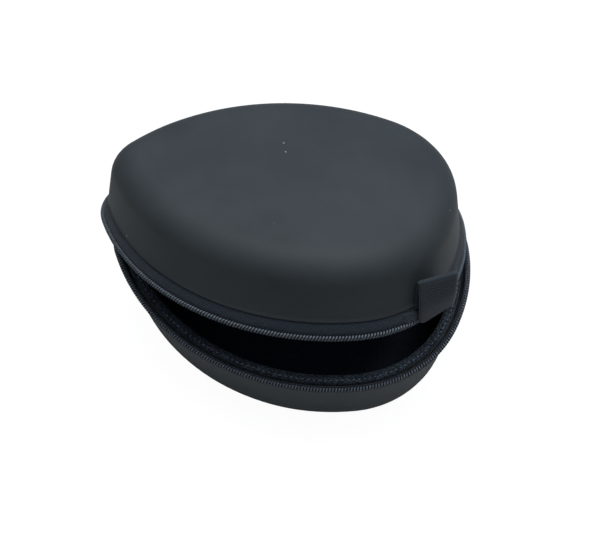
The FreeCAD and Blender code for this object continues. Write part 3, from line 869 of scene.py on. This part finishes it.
binding_knit = knit_material("binding_knit", srgb(30, 38, 48), srgb(104, 115, 128), 0.75 * MM, 0.88)
binding_stitch = thread_material("binding_thread", srgb(96, 105, 114), srgb(156, 163, 170), 0.4 * MM)
for half in HALVES:
    mesh = rim_strip(f"{half}_binding", half, in_mm(BINDING_FACE), 0, RIM_LENGTH, stitch_step / 2,
                     binding_sway)
    finish_piece(new_object(f"{half}_binding", mesh), half, binding_knit,
                 (f"{half}_rim_binding",))
    mesh = stitch_mesh(f"{half}_binding_stitches", half)
    finish_piece(new_object(f"{half}_binding_stitches", mesh), half, binding_stitch)

# Cloth hinge
# A woven cloth strip glued and sewn over both skins behind the rim, in the gap of the zipper,
# and a thinner knit strip inside. They are the only parts that hold the lid to the base.
HINGE_LENGTH = 43 * MM
HINGE_COLUMNS = 24
HINGE_LIFT = 0.62 * MM
BRIDGE_DEPTH = 0.6 * MM
SELVEDGE_SHARE = 0.25
SELVEDGE_POWER = 10
FOLD_SHARE = 0.35
OUTER_CLOTH = 0.9 * MM
OUTER_FACE = (13.6, 13.2, 12, 10.5, 9, 7.8)
OUTER_BAND = ((2.7, 6.4), (1.9, 4.6), (0.7, 2.6), (-0.1, 1.2))
OUTER_BRIDGE = ((-0.4, 0.2), (-0.5, 0.5), (-0.4, 0.8))
INNER_CLOTH = 0.5 * MM
INNER_BAND = ((9.2, 7.5), (9.5, 6), (9.8, 4.4), (9.9, 2.8), (9.8, 1.4), (9.5, 0.6))
INNER_BRIDGE = ((9.4, 0.2), (9.3, 0.4), (9.3, 0.6), (9.4, 0.8))


def hinge_cloth(name, path, thickness):
    """A band over the gap, from the base to the lid. Its path gives half, inset and depth, and
    between the halves the share of the way instead of the depth."""
    middle = rim_distance(HINGE_NORMAL)
    columns = []
    for column in range(HINGE_COLUMNS + 1):
        distance = middle + HINGE_LENGTH * (column / HINGE_COLUMNS - 0.5)
        line = []
        for half, inset, depth in path:
            if half == "between":
                low = on_rim("base", distance, inset, BRIDGE_DEPTH)
                line.append(low.lerp(on_rim("lid", distance, inset, BRIDGE_DEPTH), depth))
            else:
                line.append(on_rim(half, distance, inset, depth))
        columns.append(line)
    rings = []
    for number, line in enumerate(columns):
        thin = max(SELVEDGE_SHARE, 1 - abs(2 * number / HINGE_COLUMNS - 1) ** SELVEDGE_POWER)
        beside = columns[min(number + 1, HINGE_COLUMNS)][0] - columns[max(number - 1, 0)][0]
        faces = ([], [])
        for index, spot in enumerate(line):
            up = line[min(index + 1, len(line) - 1)] - line[max(index - 1, 0)]
            out = beside.cross(up).normalized()
            end_thin = FOLD_SHARE if index in (0, len(line) - 1) else 1.0
            for face, side in zip(faces, (0.5, -0.5)):
                face.append(spot + out * thickness * side * thin * end_thin)
        rings.append(faces[0] + faces[1][::-1])
    return ringed_mesh(name, rings)


def leaning(half, depth):
    """Inset of a place that stands a little off the skin of a half."""
    lean = SHELL_SIZES[half][1]
    return SHELL_INSET + max(0.0, depth - BAND_DEPTH) * math.tan(lean) - HINGE_LIFT


def hinge_path(face, band, bridge):
    """Rows up the base, over the gap and down the lid, in millimetres. The face lies on the skin
    at its depths, the band has inset and depth, and the bridge inset and share of the way."""
    sides = []
    for half in HALVES:
        rows = [(half, leaning(half, depth * MM), depth * MM) for depth in face]
        sides.append(rows + [(half, inset, depth) for inset, depth in in_mm(band)])
    between = [("between", inset * MM, share) for inset, share in bridge]
    return sides[0] + between + sides[1][::-1]


outer_path = hinge_path(OUTER_FACE, OUTER_BAND, OUTER_BRIDGE)
inner_path = hinge_path((), INNER_BAND, INNER_BRIDGE)
hinge_weave = woven_material("hinge_cloth_weave", srgb(22, 26, 32), srgb(44, 50, 57), 0.9 * MM, 90, 0.88)
middle = rim_distance(HINGE_NORMAL)
for name, path, thickness, paint, slot_name, node in (
        ("hinge_cloth", outer_path, OUTER_CLOTH, hinge_weave, "hinge_fabric", "hinge_outer_strip"),
        ("hinge_inner_cloth", inner_path, INNER_CLOTH, lining, "lining_fabric", "hinge_lining_strip")):
    piece = new_object(name, hinge_cloth(name, path, thickness))
    piece.data.materials.append(paint)
    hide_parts(node)
    inset = path[len(path) // 2][1]
    on_rim("base", middle, inset, 2.0 * MM)
    on_rim("lid", middle, inset, 2.0 * MM)
    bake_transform(piece)

# Carrying loop
# Ribbed polyester webbing, 20 mm wide, folded over into a flat loop. Its back leg is caught in
# the lid's seam and sewn with a bartack, its front leg runs down over the tape to the edge of the
# coil, and its cut end is turned under beside the loop and sewn to the tape.
LOOP_NORMAL = -42
LOOP_TURN = math.radians(-56)
LOOP_TOP = 22.5 * MM
LOOP_BEND = 1.15 * MM
LOOP_FRONT = -2.9 * MM
LOOP_BACK = LOOP_FRONT - 2 * LOOP_BEND
LOOP_FOOT = (-0.75 * MM, 0.9 * MM)
LOOP_FREE_CORNER = (-3.0 * MM, 5.0 * MM)
LOOP_ROOT = (3.1 * MM, 7.9 * MM)
LOOP_BOW = 0.5 * MM
ROOT_SPREAD = 1.15
CORNER_SHARE = 0.2
CORNER_LIFT = 2.2 * MM
FRONT_STEPS, BEND_STEPS, BACK_STEPS = 120, 16, 60
LOOP_COLUMNS = 16
WEBBING_WIDTH = 20 * MM
WEBBING_HALF = 0.6 * MM
WEBBING_EDGE_SHARE = 0.3
WEBBING_EDGE_POWER = 12
RIB_PITCH = 1.55 * MM
RIB_DEPTH = 0.22 * MM
RIB_START = 6.5 * MM
RIB_FADE = 4 * MM
TAIL_LENGTH = 7.0 * MM
TAIL_RIB = 1.6 * MM
TAIL_STEPS = 40
TAIL_TOP = 2.7
TAIL_SLOPE = 1.1
TAIL_DROP = 5.2
TAIL_FACE = 1.9 * MM
TAIL_LEAN_FROM = 4.6 * MM
TAIL_LEAN = 0.6
TAIL_LIFTS = (0.25, 0.8, 0.3)
TAIL_END = (0.3, 0.7, 0.4)
TAIL_FADE = 5
TAIL_BACK = 0.05 * MM
BARTACK_ROWS = 26
BARTACK_SPAN = (0.15, 0.7)
BARTACK_RISE = (0.05, 0.03)
BARTACK_ROUND = 3
BARTACK_LIFT = 0.1 * MM
BARTACK_RADIUS = 0.24 * MM
BARTACK_SIDES = 6
loop_corner = CORNER * MIRROR + CORNER_RADIUS * towards(math.radians(LOOP_NORMAL))
loop_across = towards(LOOP_TURN + math.pi / 2)
loop_out = towards(LOOP_TURN)


def on_loop(share, out, up):
    spot = loop_corner + loop_across * WEBBING_WIDTH * share + loop_out * out
    return LID @ Vector((spot.x, spot.y, PARTING + up))


LOOP_OUTWARD = on_loop(0, 1, 0) - on_loop(0, 0, 0)
LOOP_UPWARD = on_loop(0, 0, 1) - on_loop(0, 0, 0)


def loop_line(share):
    """The middle line of the webbing at one place across its width, front foot to back root."""
    start = rim_distance(LOOP_NORMAL)
    corner = max(0.0, 1 - share / CORNER_SHARE)
    foot = on_rim("lid", start, *LOOP_FOOT).lerp(on_loop(1, *LOOP_FREE_CORNER), share)
    foot += LOOP_UPWARD * CORNER_LIFT * corner * corner
    root = on_rim("lid", start + WEBBING_WIDTH * share * ROOT_SPREAD, *LOOP_ROOT)
    top = on_loop(share, LOOP_FRONT, LOOP_TOP)
    behind = on_loop(share, LOOP_BACK, LOOP_TOP)
    line = []
    for step in range(FRONT_STEPS + 1):
        part = step / FRONT_STEPS
        line.append(foot.lerp(top, part) + LOOP_OUTWARD * LOOP_BOW * math.sin(math.pi * part))
    for step in range(1, BEND_STEPS):
        turn = math.pi * step / BEND_STEPS
        line.append(on_loop(share, (LOOP_FRONT + LOOP_BACK) / 2 + LOOP_BEND * math.cos(turn),
                            LOOP_TOP + LOOP_BEND * math.sin(turn)))
    for step in range(BACK_STEPS + 1):
        line.append(behind.lerp(root, step / BACK_STEPS))
    return line


def loop_mesh(name):
    lines = [loop_line(column / LOOP_COLUMNS) for column in range(LOOP_COLUMNS + 1)]
    lengths = [0.0]
    middle = lines[LOOP_COLUMNS // 2]
    for spot, after in zip(middle, middle[1:]):
        lengths.append(lengths[-1] + (after - spot).length)
    rings = []
    for row, length in enumerate(lengths):
        ribbed = max(0.0, min(1.0, (length - RIB_START) / RIB_FADE))
        rib = 0.5 + 0.5 * math.cos(2 * math.pi * length / RIB_PITCH)
        faces = ([], [])
        for column, line in enumerate(lines):
            ahead = line[min(row + 1, len(line) - 1)] - line[max(row - 1, 0)]
            beside = lines[min(column + 1, LOOP_COLUMNS)][row] - lines[max(column - 1, 0)][row]
            out = beside.cross(ahead).normalized()
            thin = max(WEBBING_EDGE_SHARE, 1 - abs(2 * column / LOOP_COLUMNS - 1) ** WEBBING_EDGE_POWER)
            half = WEBBING_HALF * thin - RIB_DEPTH * ribbed * rib * thin
            faces[0].append(line[row] + out * half)
            faces[1].append(line[row] - out * half)
        rings.append(faces[0] + faces[1][::-1])
    return ringed_mesh(name, rings)


def tail_mesh(name):
    """The cut end of the webbing, turned under beside the loop and sewn down on the tape."""
    first = rim_distance(LOOP_NORMAL) - TAIL_LENGTH
    rings = []
    for step in range(TAIL_STEPS + 1):
        share = step / TAIL_STEPS
        distance = first + (TAIL_LENGTH + MM) * share
        faces = ([], [])
        for row in range(TAIL_STEPS + 1):
            depth = (TAIL_TOP - TAIL_SLOPE * share + TAIL_DROP * row / TAIL_STEPS) * MM
            rib = 0.5 + 0.5 * math.cos(2 * math.pi * (distance + depth) / TAIL_RIB)
            round_end = max(0.0, math.sin(math.pi * row / TAIL_STEPS)) ** TAIL_END[2]
            end = TAIL_END[0] + TAIL_END[1] * round_end
            lift = (TAIL_LIFTS[0] + TAIL_LIFTS[1] * end * min(1, share * TAIL_FADE)
                    + TAIL_LIFTS[2] * rib * end) * MM
            face = TAIL_FACE + max(0, depth - TAIL_LEAN_FROM) * TAIL_LEAN
            faces[0].append(on_rim("lid", distance, face - lift, depth))
            faces[1].append(on_rim("lid", distance, face - TAIL_BACK, depth))
        rings.append(faces[0] + faces[1][::-1])
    return ringed_mesh(name, rings)


def bartack_mesh(name):
    """Close zigzag sewing through the back leg, just above its root."""
    places, upright = [], []
    for row in range(BARTACK_ROWS + 1):
        line = loop_line(BARTACK_SPAN[0] + BARTACK_SPAN[1] * row / BARTACK_ROWS)
        rise = BARTACK_RISE[0] + BARTACK_RISE[1] * (row % BARTACK_ROUND)
        stitch = line[-1].lerp(line[-1 - BACK_STEPS], rise)
        for side in ((-1, 1) if row % 2 == 0 else (1, -1)):
            places.append(stitch + LOOP_OUTWARD * side * (WEBBING_HALF + BARTACK_LIFT))
            upright.append(LOOP_UPWARD)
    return tube_mesh(name, places, [BARTACK_RADIUS] * len(places), upright, BARTACK_SIDES)


webbing = woven_material("webbing_weave", srgb(26, 32, 39), srgb(66, 74, 83), 0.55 * MM, 90, 0.8)
finish_piece(new_object("webbing_loop", loop_mesh("webbing_loop")), "lid", webbing,
             ("carry_loop",))
finish_piece(new_object("webbing_tail", tail_mesh("webbing_tail")), "lid", webbing)
finish_piece(new_object("loop_bartack", bartack_mesh("loop_bartack")), "lid", sewing_thread,
             ("carry_loop_bartack",))

# Slider and pull
# Cast zinc, painted black: two plates round the coils joined by a neck, with a small arch on
# which a flat pull swings.
SLIDER_ROUNDING = 0.28 * MM
PULL_ROUNDING = 0.3 * MM


def painted_metal():
    """Thin paint, worn to a lighter grey on the sharpest edges."""
    made, graph, shader = material("painted_zinc", srgb(44, 47, 51), 0.38, 0.5)
    cloud = texture(graph, object_place(graph), "Noise", "Fac", Scale=260.0, Detail=5.0, Roughness=0.6)
    tone = graph.ramp(cloud, srgb(36, 39, 43), srgb(52, 55, 59), 0.3, 0.72)
    edge = (graph.add("ShaderNodeNewGeometry"), "Pointiness")
    worn = graph.between(edge, From_Min=0.56, From_Max=0.66)
    graph.join(graph.painted(tone, worn, srgb(92, 94, 96)), shader, "Base Color")
    graph.join(graph.between(cloud, To_Min=0.3, To_Max=0.48), shader, "Roughness")
    add_relief(graph, shader, cloud, 0.12, 0.06 * MM)
    return made


zinc = painted_metal()
dress_solid("slider_body", zinc, SLIDER_ROUNDING)
dress_solid("slider_pull", zinc, PULL_ROUNDING)
